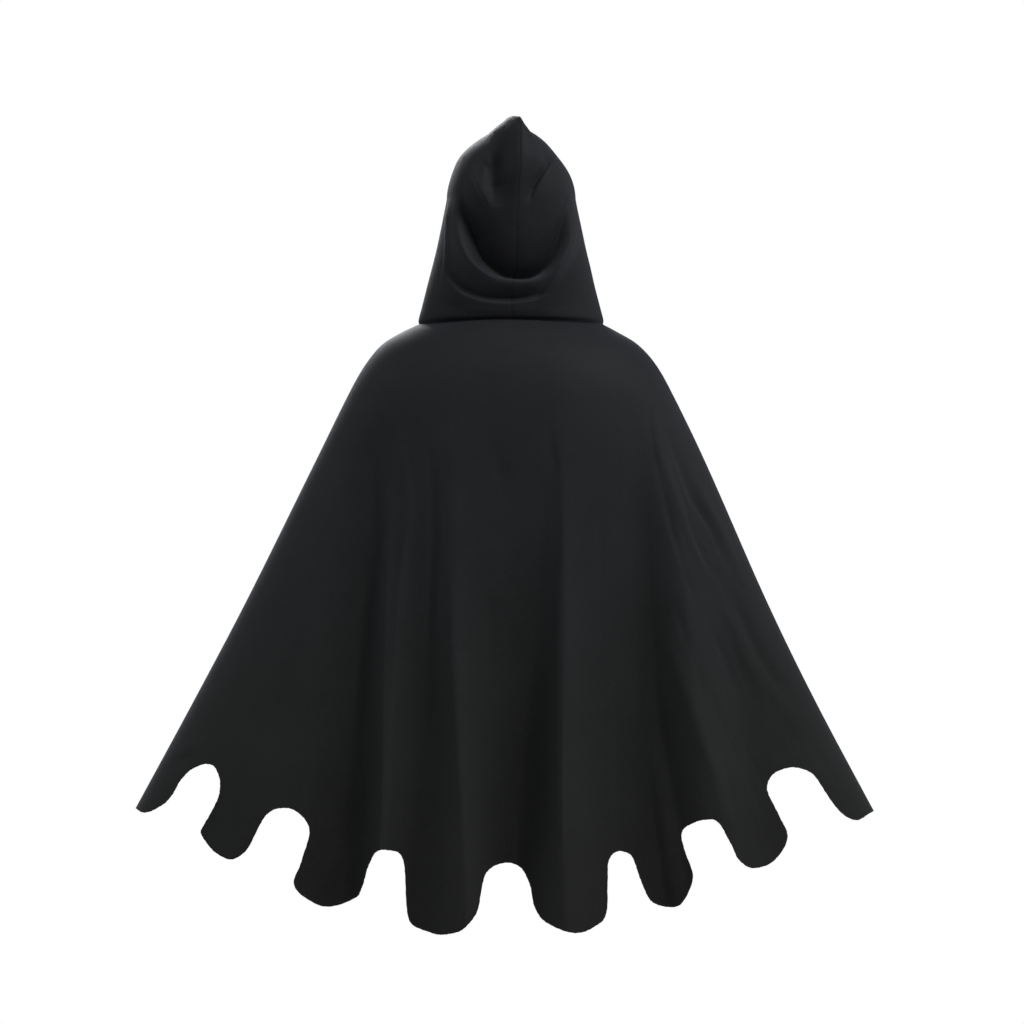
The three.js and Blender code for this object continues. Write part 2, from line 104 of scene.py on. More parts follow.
def makeFloor():
    bpy.ops.mesh.primitive_circle_add(
        vertices=96, radius=floor["radius"], fill_type="NGON", location=(0, 0, floor["height"]))
    made = bpy.context.object
    made.name = "paleFloor"
    bpy.ops.object.transform_apply(location=True, rotation=True, scale=True)
    material = bpy.data.materials.new("paleFloor")
    material.use_nodes = True
    shader = material.node_tree.nodes["Principled BSDF"]
    shader.inputs["Base Color"].default_value = floor["colour"]
    shader.inputs["Roughness"].default_value = floor["roughness"]
    made.data.materials.append(material)


bpy.ops.object.select_all(action="DESELECT")
makeCamera()
for light in lights:
    makeLight(**light)
makeWorld()
makeFloor()
scene.view_settings.view_transform = "Standard"
print("camera, lights and floor are in")


def table(names, rows):
    return {name: np.array([row[i] for row in rows], float) for i, name in enumerate(names)}


def smooth(value, low, high):
    t = np.clip((value - low) / (high - low), 0, 1)
    return t * t * (3 - 2 * t)


def unit(vectors):
    return vectors / np.maximum(np.linalg.norm(vectors, axis=-1, keepdims=True), 1e-9)


def distanceAlong(points, axis):  # how far each point of a sheet is from its first one in that direction
    steps = np.diff(points, axis=axis, prepend=points.take([0], axis))
    return np.cumsum(np.linalg.norm(steps, axis=-1), axis)


def columnAt(rows, key, name, at):  # a table's column between its rows, on a smooth curve
    keys, values = rows[key], rows[name]
    slopes = np.empty_like(values)
    slopes[1:-1] = (values[2:] - values[:-2]) / (keys[2:] - keys[:-2])
    slopes[0] = (values[1] - values[0]) / (keys[1] - keys[0])
    slopes[-1] = (values[-1] - values[-2]) / (keys[-1] - keys[-2])
    i = np.clip(np.searchsorted(keys, at, side="right") - 1, 0, len(keys) - 2)
    span = keys[i + 1] - keys[i]
    t = np.clip((at - keys[i]) / span, 0, 1)
    bend = t * t * (3 - 2 * t)
    return (values[i] * (1 - bend) + values[i + 1] * bend
            + slopes[i] * span * t * (1 - t) ** 2 - slopes[i + 1] * span * t * t * (1 - t))


def curveThrough(points, steps=8):  # a smooth line through given points
    p = np.array(points, float)
    p = np.vstack([2 * p[0] - p[1], p, 2 * p[-1] - p[-2]])
    found = []
    for k in range(1, len(p) - 2):
        t = np.linspace(0, 1, steps, endpoint=False)[:, None]
        found.append(0.5 * (2 * p[k] + (p[k + 1] - p[k - 1]) * t
                            + (2 * p[k - 1] - 5 * p[k] + 4 * p[k + 1] - p[k + 2]) * t ** 2
                            + (3 * p[k] - p[k - 1] - 3 * p[k + 1] + p[k + 2]) * t ** 3))
    return np.vstack([*found, p[-2:-1]])


# A crease is a row of height, left, right, crisp, along and path. It is a ridge (height +) or a valley (-) on a
# path of x, z points, run from top to bottom. left and right are its widths to the wearer's left and right,
# crisp is 0 for round and 1 for sharp, and along gives its strength at even steps from first point to last.
def creaseHeight(creases, x, z):
    total = np.zeros_like(x)
    for height, left, right, crisp, along, path in creases:
        line = curveThrough(path)
        reach = 1.2 * max(left, right)
        low, high = line.min(0) - reach, line.max(0) + reach
        near = (x > low[0]) & (x < high[0]) & (z > low[1]) & (z < high[1])
        if not near.any():
            continue
        px, pz = x[near], z[near]
        start, step = line[:-1], np.diff(line, axis=0)
        length = np.maximum(np.hypot(step[:, 0], step[:, 1]), 1e-9)
        before = np.concatenate([[0], np.cumsum(length)[:-1]])
        best, side = np.full(px.shape, 1e9), np.zeros_like(px)
        pull, place = np.zeros_like(px), np.zeros_like(px)
        for k in range(len(start)):
            dx, dz = step[k] / length[k]
            rx, rz = px - start[k, 0], pz - start[k, 1]
            s = np.clip(rx * dx + rz * dz, 0, length[k])
            dist = np.hypot(rx - s * dx, rz - s * dz)
            nearer = dist < best
            best[nearer] = dist[nearer]
            side[nearer] = (rx * dz - rz * dx)[nearer]
            weight = length[k] / np.maximum(dist, 2) ** 6
            pull += weight
            place += weight * (before[k] + s)
        far = smooth(best, 8, 26)  # well off the line the distance is a blend, so that no kink shows in a bend
        dist = best * (1 - far) + (pull / 1.178) ** -0.2 * far  # 1.178 makes the blend true for a straight line
        u = np.clip(1 - dist / np.where(side < 0, left, right), 0, 1)
        profile = (1 - crisp) * u * u * (3 - 2 * u) + crisp * u ** 1.8
        strength = np.interp(place / pull / length.sum(), np.linspace(0, 1, len(along)), along)
        total[near] += height * profile * strength
    return total


def unevenness(a, b, size, amount):  # slight waviness of hanging cloth
    wave = (np.sin(a / size + 1.7 * np.sin(b / (1.9 * size)))
            + np.sin(b / (1.3 * size) + 2.1 * np.sin(a / (2.3 * size)))
            + 0.6 * np.sin((a + 1.6 * b) / (0.7 * size) + 0.8))
    return amount * wave / 2.6


def gridMesh(name, points, height=None):
    cols, rows = points.shape[:2]
    mesh = bpy.data.meshes.new(name)
    corner = (np.arange(cols - 1)[:, None] * rows + np.arange(rows - 1)[None, :]).ravel()
    faces = np.stack([corner, corner + rows, corner + rows + 1, corner + 1], 1)
    mesh.from_pydata((points.reshape(-1, 3) * mm).tolist(), [], faces.tolist())
    down, across = distanceAlong(points, 1), distanceAlong(points, 0)
    across -= across[cols // 2]
    lay = mesh.uv_layers.new(name="clothLay")
    loops = np.empty(len(mesh.loops), int)
    mesh.loops.foreach_get("vertex_index", loops)
    lay.data.foreach_set("uv", (np.stack([across.ravel()[loops], down.ravel()[loops]], 1) * mm).ravel())
    if height is not None:  # how far the cloth stands out of its plain form, for the painted shade in its hollows and painted light on its raised folds
        stand = mesh.attributes.new("foldHeight", "FLOAT", "POINT")
        stand.data.foreach_set("value", height.ravel())
    mesh.update()
    return addObject(name, mesh)


def selectOnly(made):
    bpy.ops.object.select_all(action="DESELECT")
    bpy.context.view_layer.objects.active = made
    made.select_set(True)


def applyModifiers(made):
    selectOnly(made)
    for modifier in list(made.modifiers):
        bpy.ops.object.modifier_apply(modifier=modifier.name)


def giveWall(made, thickness):  # the sheet's wall grows inwards from its outside
    wall = made.modifiers.new("wall", "SOLIDIFY")
    wall.thickness = thickness * mm
    wall.offset = -1
    applyModifiers(made)


def outwards(points):
    across, down = np.gradient(points, axis=(0, 1))
    return unit(np.cross(across, down))


def dress(made, material, crease=50):
    made.data.materials.clear()
    made.data.materials.append(material)
    selectOnly(made)
    bpy.ops.object.shade_smooth_by_angle(angle=math.radians(crease))
    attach(made, "root")


fabric = {
    "hemColour": (0.0083, 0.009, 0.0084, 1), "hoodColour": (0.0083, 0.0089, 0.0104, 1),
    "hemToHood": {"start": -0.75, "slope": 1.6, "low": 0, "high": 1},
    "roughness": 0.63, "weaveRoughness": 0.1, "specular": 0.13,
    "sheen": 0.13, "sheenRoughness": 0.35, "sheenTint": (0.74, 0.84, 1.0, 1),
    "yarn": 0.0011, "bump": 0.22, "bumpDepth": 0.0006, "weaveTone": 0.3,
    "dyeTone": 0.5, "lintTone": 1.4,
    # the fold ramp paints shade into hollows and light onto raised folds
    "paintedFoldShade": {"start": 0, "slope": 0.024, "low": -0.5, "high": 0.3},
    # the height ramp paints the cloth lighter high up and darker towards the hem, as light from above falls
    "paintedTopLight": {"start": -0.4, "slope": 0.34, "low": -0.2, "high": 0.1},
}
yarnWeave = {"loops": 0.6, "depth": 0.3, "slubScale": 900}
dyeAndFoldShade = {"cloudScale": 9, "mottleScale": 230}
lint = {"scale": 130, "size": 0.055, "patchScale": 4, "patchFrom": 0.56}
fineTone = {"span": 0.6, "from": 0.7, "roughSpan": 0.16}
thread = {"colour": (0.012, 0.012, 0.0125), "roughness": 0.47, "grain": 2600, "bump": 0.3, "bumpDepth": 0.0001}
plastic = {"colour": (0.009, 0.009, 0.0095), "roughness": 0.22, "grain": 240, "bump": 0.3, "bumpDepth": 0.00005}


def giveInput(tree, socket, value):  # a number, or another node's output
    if isinstance(value, (int, float)):
        socket.default_value = value
    else:
        tree.links.new(value, socket)


def addMath(tree, operation, *values):
    node = tree.nodes.new("ShaderNodeMath")
    node.operation = operation
    for socket, value in zip(node.inputs, values):
        giveInput(tree, socket, value)
    return node.outputs[0]


def addNoise(tree, place, scale, detail):
    node = tree.nodes.new("ShaderNodeTexNoise")
    node.inputs["Detail"].default_value = detail
    giveInput(tree, node.inputs["Vector"], place)
    giveInput(tree, node.inputs["Scale"], scale)
    return node.outputs["Fac"]


def addRamp(tree, value, start, slope, low, high):
    value = addMath(tree, "MULTIPLY", addMath(tree, "SUBTRACT", value, start), slope)
    return addMath(tree, "MAXIMUM", addMath(tree, "MINIMUM", value, high), low)


def newGroup(name, outputs, inputs):
    tree = bpy.data.node_groups.new(name, "ShaderNodeTree")
    for title, kind in inputs:
        tree.interface.new_socket(name=title, in_out="INPUT", socket_type=kind)
    for title in outputs:
        tree.interface.new_socket(name=title, in_out="OUTPUT", socket_type="NodeSocketFloat")
    return tree, tree.nodes.new("NodeGroupInput").outputs, tree.nodes.new("NodeGroupOutput").inputs


def makeWeaveGroup():  # the crossing yarns of a fine weave, as a height
    tree, given, out = newGroup(
        "plainWeave", ["Height"], [("Lay", "NodeSocketVector"), ("Yarn", "NodeSocketFloat")])
    turns = addMath(tree, "DIVIDE", math.tau, given["Yarn"])
    split = tree.nodes.new("ShaderNodeSeparateXYZ")
    giveInput(tree, split.inputs[0], given["Lay"])
    across, down = (addMath(tree, "SINE", addMath(tree, "MULTIPLY", way, turns)) for way in split.outputs[:2])
    loops = addMath(tree, "MULTIPLY", across, down)
    ribs = addMath(tree, "MULTIPLY_ADD", loops, yarnWeave["loops"], across)
    slub = addNoise(tree, given["Lay"], yarnWeave["slubScale"], 2)
    giveInput(tree, out["Height"], addMath(tree, "MULTIPLY_ADD", ribs, yarnWeave["depth"], slub))
    return tree


def makeWearGroup():  # soft cloudiness and mottling of dyed cloth, and a few specks of lint
    tree, given, out = newGroup(
        "dyeAndLint", ["Tone", "Lint"],
        [("Place", "NodeSocketVector"), ("Cloud", "NodeSocketFloat"), ("Mottle", "NodeSocketFloat")])
    tone = 0
    for scale, detail, title in ((dyeAndFoldShade["cloudScale"], 4, "Cloud"), (dyeAndFoldShade["mottleScale"], 3, "Mottle")):
        noise = addNoise(tree, given["Place"], scale, detail)
        tone = addMath(tree, "MULTIPLY_ADD", addMath(tree, "SUBTRACT", noise, 0.5), given[title], tone)
    giveInput(tree, out["Tone"], tone)
    specks = tree.nodes.new("ShaderNodeTexVoronoi")
    giveInput(tree, specks.inputs["Scale"], lint["scale"])
    giveInput(tree, specks.inputs["Vector"], given["Place"])
    dots = addMath(tree, "LESS_THAN", specks.outputs["Distance"], lint["size"])
    patches = addNoise(tree, given["Place"], lint["patchScale"], 2)
    patches = addMath(tree, "GREATER_THAN", patches, lint["patchFrom"])
    giveInput(tree, out["Lint"], addMath(tree, "MULTIPLY", dots, patches))
    return tree


def makeGrainGroup():  # the fine uneven surface of thread and plastic
    tree, given, out = newGroup(
        "fineGrain", ["Height", "Tone", "Rough"], [("Place", "NodeSocketVector"), ("Scale", "NodeSocketFloat")])
    grain = addNoise(tree, given["Place"], given["Scale"], 3)
    giveInput(tree, out["Height"], grain)
    giveInput(tree, out["Tone"], addMath(tree, "MULTIPLY_ADD", grain, fineTone["span"], fineTone["from"]))
    giveInput(tree, out["Rough"], addMath(tree, "MULTIPLY", grain, fineTone["roughSpan"]))
    return tree


plainWeave = makeWeaveGroup()
dyeAndLint = makeWearGroup()
fineGrain = makeGrainGroup()


def newMaterial(name, finish, groups):  # the groups are placed in it, each with its own values
    material = bpy.data.materials.new(name)
    material.use_nodes = True
    tree = material.node_tree
    placed = []
    for group, values in groups:
        node = tree.nodes.new("ShaderNodeGroup")
        node.node_tree = group
        for title, value in values.items():
            node.inputs[title].default_value = value
        placed.append(node)
    bump = tree.nodes.new("ShaderNodeBump")
    bump.inputs["Strength"].default_value = finish["bump"]
    bump.inputs["Distance"].default_value = finish["bumpDepth"]
    giveInput(tree, bump.inputs["Height"], placed[0].outputs["Height"])
    shader = tree.nodes["Principled BSDF"].inputs
    giveInput(tree, shader["Normal"], bump.outputs["Normal"])
    place = tree.nodes.new("ShaderNodeTexCoord").outputs["Object"]
    return material, tree, shader, place, placed


def tintBy(tree, tone, shader):  # the base colour, made lighter and darker by a tone
    scaled = tree.nodes.new("ShaderNodeVectorMath")
    scaled.operation = "SCALE"
    giveInput(tree, scaled.inputs["Scale"], tone)
    giveInput(tree, shader["Base Color"], scaled.outputs[0])
    return scaled.inputs[0]


def makeFabric(name, layName):
    groups = [(plainWeave, {"Yarn": fabric["yarn"]}), (dyeAndLint, {"Cloud": 1, "Mottle": 1})]
    material, tree, shader, place, (weave, wear) = newMaterial(name, fabric, groups)
    shader["Specular IOR Level"].default_value = fabric["specular"]
    shader["Sheen Weight"].default_value = fabric["sheen"]
    shader["Sheen Roughness"].default_value = fabric["sheenRoughness"]
    shader["Sheen Tint"].default_value = fabric["sheenTint"]
    lay = tree.nodes.new("ShaderNodeUVMap")
    lay.uv_map = layName
    giveInput(tree, weave.inputs["Lay"], lay.outputs["UV"])
    giveInput(tree, wear.inputs["Place"], place)
    yarns = weave.outputs["Height"]
    split = tree.nodes.new("ShaderNodeSeparateXYZ")
    giveInput(tree, split.inputs[0], place)
    rise = split.outputs["Z"]
    stand = tree.nodes.new("ShaderNodeAttribute")
    stand.attribute_name = "foldHeight"
    # painted shade and light: raised folds are painted lighter and hollows darker, and the cloth is painted
    # lighter towards the shoulders and darker towards the hem, where light from above falls
    tone = addMath(tree, "MULTIPLY_ADD", wear.outputs["Tone"], fabric["dyeTone"], 1.0)
    tone = addMath(tree, "ADD", tone, addRamp(tree, stand.outputs["Fac"], **fabric["paintedFoldShade"]))
    # painted top light: lighter towards the shoulders, darker towards the hem
    tone = addMath(tree, "ADD", tone, addRamp(tree, rise, **fabric["paintedTopLight"]))
    tone = addMath(tree, "MULTIPLY_ADD", addMath(tree, "SUBTRACT", yarns, 0.5), fabric["weaveTone"], tone)
    tone = addMath(tree, "MULTIPLY_ADD", wear.outputs["Lint"], fabric["lintTone"], tone)
    tint = tree.nodes.new("ShaderNodeMixRGB")  # its black is bluish high up and greenish towards the hem
    tint.inputs["Color1"].default_value = fabric["hemColour"]
    tint.inputs["Color2"].default_value = fabric["hoodColour"]
    giveInput(tree, tint.inputs["Fac"], addRamp(tree, rise, **fabric["hemToHood"]))
    giveInput(tree, tintBy(tree, tone, shader), tint.outputs[0])
    rough = addMath(tree, "MULTIPLY_ADD", yarns, fabric["weaveRoughness"], fabric["roughness"])
    giveInput(tree, shader["Roughness"], rough)
    return material


def makeHard(name, finish):  # thread or plastic
    groups = [(fineGrain, {"Scale": finish["grain"]})]
    material, tree, shader, place, (grain,) = newMaterial(name, finish, groups)
    giveInput(tree, grain.inputs["Place"], place)
    tintBy(tree, grain.outputs["Tone"], shader).default_value = finish["colour"]
    giveInput(tree, shader["Roughness"], addMath(tree, "ADD", grain.outputs["Rough"], finish["roughness"]))
    return material


blackCloth = makeFabric("blackCloth", "clothLay")
sewingThread = makeHard("sewingThread", thread)
blackPlastic = makeHard("blackPlastic", plastic)
print("cloth, thread and plastic are mixed")

cape = {
    "thickness": 0.8,
    "seamGap": 0.3,
    "sections": table(
        ("share", "leftX", "rightX", "sideZ", "backY", "backZ", "frontY", "frontZ", "fullness"), (
            (0, 136, 136, 0.6, 79, 5, -76, -60, 0),
            (0.033, 159, 156, -10, 97, -15, -90, -84, 0.05),
            (0.075, 189, 186, -28, 116, -47, -103, -119, 0.12),
            (0.114, 211, 210, -53, 127, -80, -110, -153, 0.18),
            (0.165, 233, 232, -89, 134, -126, -115, -198, 0.2),
            (0.31, 288, 286, -200, 141, -258, -121, -329, 0.16),
            (0.58, 390, 377, -406, 158, -504, -134, -572, 0.08),
            (0.78, 468, 449, -554, 174, -684, -148, -751, 0.03),
            (1, 569, 548, -740, 194, -890, -166, -950, 0),
        )),
    "chestAt": 0.2, "waistAt": 0.58, "hemAt": 1, "foldsFullAt": 0.85,
    "columnsPerFold": 21, "rows": 206,
    "frontEdge": table(("share", "inset"), ((0, -13), (0.045, -13), (0.16, -2), (0.4, 14), (1, 38))),
    "lap": 2.6, "lapFrom": 17, "lapTo": 65,
    "edgeHem": 14, "edgeHemDeep": 1.9,
    "rowsAtNeck": 0.35, "neckPower": 1.7,
    # slight waves as shift, stretch, size and height, and how far from an edge they are full
    "waves": ((0, 0.35, 31, 0.9), (40, 0.3, 12, 0.3)), "wavesFullAt": 0.5,
    # how deep each row of a seam allowance stands in from the seam, and how far it lies over to the other side
    "backAllowance": ((1.0, 0), (3.4, 0), (5.2, 0), (6.1, -1.0), (6.5, -3.0), (6.7, -8.0)),
    "frontAllowance": ((1.0, 0), (4.2, 0)), "allowanceOpens": 12,
}
foldNames = ("chest", "waist", "hem", "height", "from", "crisp")
backFolds = table(foldNames, (
    (-0.92, -0.86, -0.74, -7, 0.2, 0),
    (-0.83, -0.69, -0.58, 13, 0.12, 0),
    (-0.73, -0.52, -0.42, -22, 0.12, 1),
    (-0.3, -0.195, -0.138, 21, 0.14, 0.9),
    (-0.19, -0.08, 0, -25, 0.18, 0.1),
    (0.37, 0.21, 0.108, 15, 0.16, 0.9),
    (0.48, 0.335, 0.262, -11, 0.14, 0.1),
    (0.66, 0.46, 0.335, 13, 0.16, 0.9),
    (0.76, 0.56, 0.42, -15, 0.14, 0.2),
    (0.86, 0.79, 0.66, 12, 0.12, 0),
))
frontLeftFolds = table(foldNames, (
    (0.84, 0.8, 0.76, 12, 0.14, 0.2),
    (0.7, 0.63, 0.57, -17, 0.16, 0.6),
    (0.52, 0.46, 0.4, 18, 0.12, 0.3),
    (0.34, 0.28, 0.24, -15, 0.16, 0.7),
    (0.15, 0.13, 0.12, 10, 0.2, 0.2),
))
frontRightFolds = table(foldNames, (
    (-0.14, -0.14, -0.14, 12, 0.2, 0.2),
    (-0.31, -0.29, -0.27, -17, 0.14, 0.6),
    (-0.5, -0.45, -0.41, 15, 0.16, 0.3),
    (-0.68, -0.61, -0.55, -18, 0.12, 0.7),
    (-0.84, -0.8, -0.75, 13, 0.14, 0.2),
))
backCreases = [
    # the faint line across the top of the back, below the hood
    (1.5, 10, 6, 0.5, (0, 1, 1, 0), [(52, -47), (24, -41), (-14, -41), (-60, -50)]),
    # the soft pipes left of the middle, with sharper edges than the folds under them
    (4, 16, 12, 0.5, (0, 0.5, 0.9, 1, 1, 0.7), [(169, -123), (147, -259), (153, -325), (163, -436), (172, -619),
     (176, -777)]),
    (3.5, 16, 30, 0.6, (0, 0.8, 1, 0.8, 0.5, 0.3), [(87, -135), (81, -288), (80, -459), (74, -545), (67, -688),
     (53, -838)]),
    (-3, 12, 14, 0.2, (0, 1, 0.8, 0), [(122, -150), (112, -280), (118, -430), (122, -600)]),
    # the long sharp pipe right of the middle, and a fine line down it
    (4, 14, 34, 0.6, (0, 0.8, 1, 1, 0.5), [(-66, -170), (-74, -289), (-70, -402), (-66, -545), (-66, -780)]),
    (-1.8, 7, 6, 0.5, (0, 1, 0.8, 0), [(-127, -240), (-130, -359), (-129, -500)]),
    (2.4, 6, 11, 0.6, (0, 1, 1, 0.6), [(-137, -400), (-143, -545), (-144, -659), (-143, -790)]),
    # the soft deep valley where the right side starts to fan out, the thin line above it and the edge beyond it
    (-13, 30, 52, 0.15, (0, 0.25, 0.45, 0.6, 0.8, 1, 1, 1, 1), [(-202, -150), (-199, -200), (-199, -288),
     (-203, -370), (-209, -451), (-216, -553), (-234, -655), (-250, -745), (-264, -830), (-274, -920)]),
    (-2.6, 6, 9, 0.4, (0, 1, 1, 0), [(-204, -125), (-207, -165), (-211, -200), (-217, -245)]),
    (4, 16, 22, 0.3, (0, 0.6, 0.9, 1, 1, 0.6), [(-222, -430), (-240, -500), (-257, -553), (-276, -610),
     (-293, -655), (-306, -720)]),
    # drag lines that fan down the right side from the shoulder
    (-3.6, 9, 13, 0.35, (0, 0.8, 1, 1, 0.8, 0), [(-222, -148), (-244, -202), (-264, -256), (-290, -296),
     (-307, -332), (-324, -366)]),
    (3, 12, 10, 0.3, (0, 0.8, 1, 0.8, 0), [(-214, -165), (-228, -215), (-246, -275), (-268, -330),
     (-290, -382)]),
    (-2.2, 7, 9, 0.4, (0, 1, 1, 0), [(-218, -232), (-228, -275), (-238, -316), (-252, -358)]),
    (-2.4, 7, 10, 0.4, (0, 1, 0.9, 0), [(-250, -282), (-272, -328), (-294, -368), (-314, -404)]),
    (-3.8, 10, 15, 0.35, (0, 0.7, 1, 0.8, 0), [(-316, -384), (-345, -445), (-370, -496), (-390, -528),
     (-416, -562)]),
    (3, 15, 11, 0.3, (0, 1, 1, 0), [(-296, -386), (-328, -452), (-356, -512), (-382, -556)]),
    (2.6, 11, 13, 0.3, (0, 1, 0.8, 0), [(-252, -190), (-285, -262), (-318, -330), (-354, -408)]),
    (-2.4, 9, 12, 0.4, (0, 1, 0.8, 0), [(-284, -430), (-305, -478), (-322, -520), (-338, -566)]),
    # short tucks on the plain middle
    (-2.4, 14, 10, 0.3, (0, 1, 0), [(22, -176), (14, -219), (6, -262)]),
    (-2.4, 16, 10, 0.2, (0, 1, 0), [(-54, -142), (-60, -190), (-67, -240)]),
    (-1.8, 16, 12, 0.3, (0, 1, 0), [(38, -330), (30, -420), (24, -520)]),
    (2.2, 8, 9, 0.4, (0, 1, 0.8), [(6, -680), (1, -730), (0, -790)]),
    # the plainer left side
    (-4, 22, 16, 0.2, (0, 0.8, 1, 1, 0.6), [(205, -150), (196, -290), (206, -430), (226, -600), (240, -760)]),
    (3.5, 34, 30, 0.1, (0, 1, 0.8, 0), [(247, -200), (287, -374), (330, -560)]),
    (-2.6, 20, 22, 0.2, (0, 1, 0.8, 0), [(300, -430), (338, -560), (378, -660)]),
    (2.4, 20, 16, 0.3, (0, 1, 0.8), [(276, -560), (296, -660), (318, -770)]),
]
# short wrinkles between the right side's drag lines and near the left tip, as three points and a height
wrinkles = [
    ((-234, -396), (-247, -442), (-260, -488), -2), ((-320, -468), (-342, -520), (-368, -574), -1.8),
    ((-282, -516), (-299, -570), (-313, -626), -2.2), ((-328, -586), (-350, -640), (-376, -694), -1.8),
    ((-262, -476), (-275, -522), (-287, -570), -1.8), ((-303, -566), (-319, -614), (-336, -664), -1.8),
    ((-352, -500), (-376, -548), (-402, -598), -2.2), ((-386, -560), (-410, -602), (-437, -642), -1.8),
    ((-342, -644), (-353, -682), (-366, -722), -1.6), ((-276, -332), (-297, -376), (-317, -422), 1.8),
    ((-243, -334), (-257, -380), (-269, -430), -1.8), ((-430, -600), (-454, -640), (-480, -680), -2),
    ((-305, -640), (-316, -680), (-325, -722), -1.6), ((-366, -608), (-384, -648), (-404, -682), 1.8),
    ((452, -622), (474, -634), (500, -652), -1.6), ((430, -600), (462, -618), (500, -632), 1.6),
    ((330, -640), (352, -668), (366, -700), -1.6), ((238, -560), (248, -612), (254, -668), -1.6),
]
backCreases += [(height, 7, 9, 0.4, (0, 1, 0), points) for *points, height in wrinkles]


def foldsAt(folds, first, last, side, ats, shares):
    c, w, h = cape["chestAt"], cape["waistAt"], cape["hemAt"]
    s = np.maximum(shares, c)
    atChest = (s - w) * (s - h) / ((c - w) * (c - h))
    atWaist = (s - c) * (s - h) / ((w - c) * (w - h))
    atHem = (s - c) * (s - w) / ((h - c) * (h - w))
    flat = np.zeros_like(shares)
    turns, heights, crisps = [first], [flat], [0.0]
    for k in range(len(folds["chest"])):
        place = folds["chest"][k] * atChest + folds["waist"][k] * atWaist + folds["hem"][k] * atHem
        place = np.arcsin(np.clip(place, -1, 1))
        turns.append(side * math.pi - place if side else place)
        heights.append(folds["height"][k] * smooth(shares, folds["from"][k], cape["foldsFullAt"]))
        crisps.append(folds["crisp"][k])
    turns, heights, crisps = np.array(turns + [last]), np.array(heights + [flat]), np.array(crisps + [0.0])
    i = np.clip(np.floor(ats).astype(int), 0, len(turns) - 2)
    t = (ats - i)[:, None]
    leave, arrive = crisps[i][:, None], crisps[i + 1][:, None]
    wave = t * t * (3 - 2 * t) + leave * t * (1 - t) ** 2 - arrive * t * t * (1 - t)
    return turns[i] * (1 - t) + turns[i + 1] * t, heights[i] * (1 - wave) + heights[i + 1] * wave


def capePoints(turn, share, height):  # turn is the angle round from the middle of the back
    names = ("leftX", "rightX", "sideZ", "backY", "backZ", "frontY", "frontZ", "fullness")
    at = {name: columnAt(cape["sections"], "share", name, share) for name in names}
    side, along = np.sin(turn), np.cos(turn)
    half = np.where(side > 0, at["leftX"], at["rightX"])
    depth = np.where(along >= 0, at["backY"], -at["frontY"])
    endZ = np.where(along >= 0, at["backZ"], at["frontZ"])
    ox, oy = side * depth, along * half
    size = np.maximum(np.hypot(ox, oy), 1e-6)
    x = half * side + ox / size * height
    y = depth * along * (1 + at["fullness"] * side * side) + oy / size * height
    return np.stack([x, y, at["sideZ"] + (endZ - at["sideZ"]) * along * along], -1)


# the cut hem as it looks from behind, lobe and notch in turn, from the wearer's left to the right
hem = {
    "line": [
        (556, -714), (541, -721), (519, -712), (503, -698),
        (488, -673), (472, -657), (451, -649), (437, -655), (430, -678), (435, -704),
        (454, -739), (458, -752), (440, -777), (414, -790), (390, -775),
        (369, -735), (355, -719), (336, -714), (316, -720), (298, -746), (310, -793),
        (321, -827), (299, -850), (269, -860), (232, -848), (221, -834),
        (211, -801), (200, -780), (186, -776), (164, -782), (157, -806),
        (155, -850), (148, -884), (116, -899), (98, -901), (72, -894), (50, -867),
        (41, -822), (31, -804), (9, -795), (-13, -801), (-27, -825),
        (-36, -863), (-55, -885), (-95, -899), (-126, -888), (-141, -870),
        (-143, -828), (-144, -795), (-152, -781), (-164, -778), (-179, -786),
        (-189, -813), (-203, -846), (-220, -858), (-250, -857), (-269, -817),
        (-256, -774), (-253, -749), (-270, -736), (-292, -731), (-307, -736),
        (-324, -765), (-338, -792), (-360, -803), (-390, -791), (-409, -758),
        (-398, -728), (-379, -687), (-389, -663), (-418, -654), (-446, -664),
        (-465, -691), (-486, -719), (-510, -732), (-535, -719),
    ],
    "steps": 9, "halfWide": 700, "below": -1200,
    "seenFrom": 5000, "eyeHeight": -276, "rough": 0.35,
    "frontShort": 4, "frontShortFrom": 480, "frontShortTo": 540, "allowanceShort": 6,
    # where each cut starts and ends, in metres back from the side seams
    "backCut": (-0.014, 0.7), "allowanceCut": (-0.0009, -0.7), "frontCut": (0.001, -0.7),
}


def hemCutter(near, far, shorter, shorterAtTips):  # all below the hem, narrowing towards the eye
    line = curveThrough(hem["line"], hem["steps"])
    along = unit(np.gradient(line, axis=0))
    intoCloth = np.stack([along[:, 1], -along[:, 0]], 1)
    at = np.arange(len(line))
    nibble = hem["rough"] * (np.sin(at * 1.9) + np.sin(at * 0.73 + 1) + np.sin(at * 3.1 + 2)) / 2
    tips = smooth(np.abs(line[:, 0]), hem["frontShortFrom"], hem["frontShortTo"])
    line = line + intoCloth * (nibble + shorter * (1 - tips) + shorterAtTips * tips)[:, None]
    wide, below = hem["halfWide"], hem["below"]
    outline = [(wide, below), (wide, line[0, 1]), *map(tuple, line), (-wide, line[-1, 1]), (-wide, below)]
    work = bmesh.new()
    ring = [work.verts.new((x * mm, near, z * mm)) for x, z in outline]
    face = work.faces.new(ring)
    moved = bmesh.ops.extrude_face_region(work, geom=[face])["geom"]
    corners = [corner for corner in moved if isinstance(corner, bmesh.types.BMVert)]
    bmesh.ops.translate(work, verts=corners, vec=(0, far - near, 0))
    bmesh.ops.recalc_face_normals(work, faces=work.faces)
    for vert in work.verts:
        closer = 1 - vert.co.y / (hem["seenFrom"] * mm)
        vert.co.x *= closer
        vert.co.z = hem["eyeHeight"] * mm + (vert.co.z - hem["eyeHeight"] * mm) * closer
    mesh = bpy.data.meshes.new("hemCutter")
    work.to_mesh(mesh)
    work.free()
    return addObject("hemCutter", mesh)


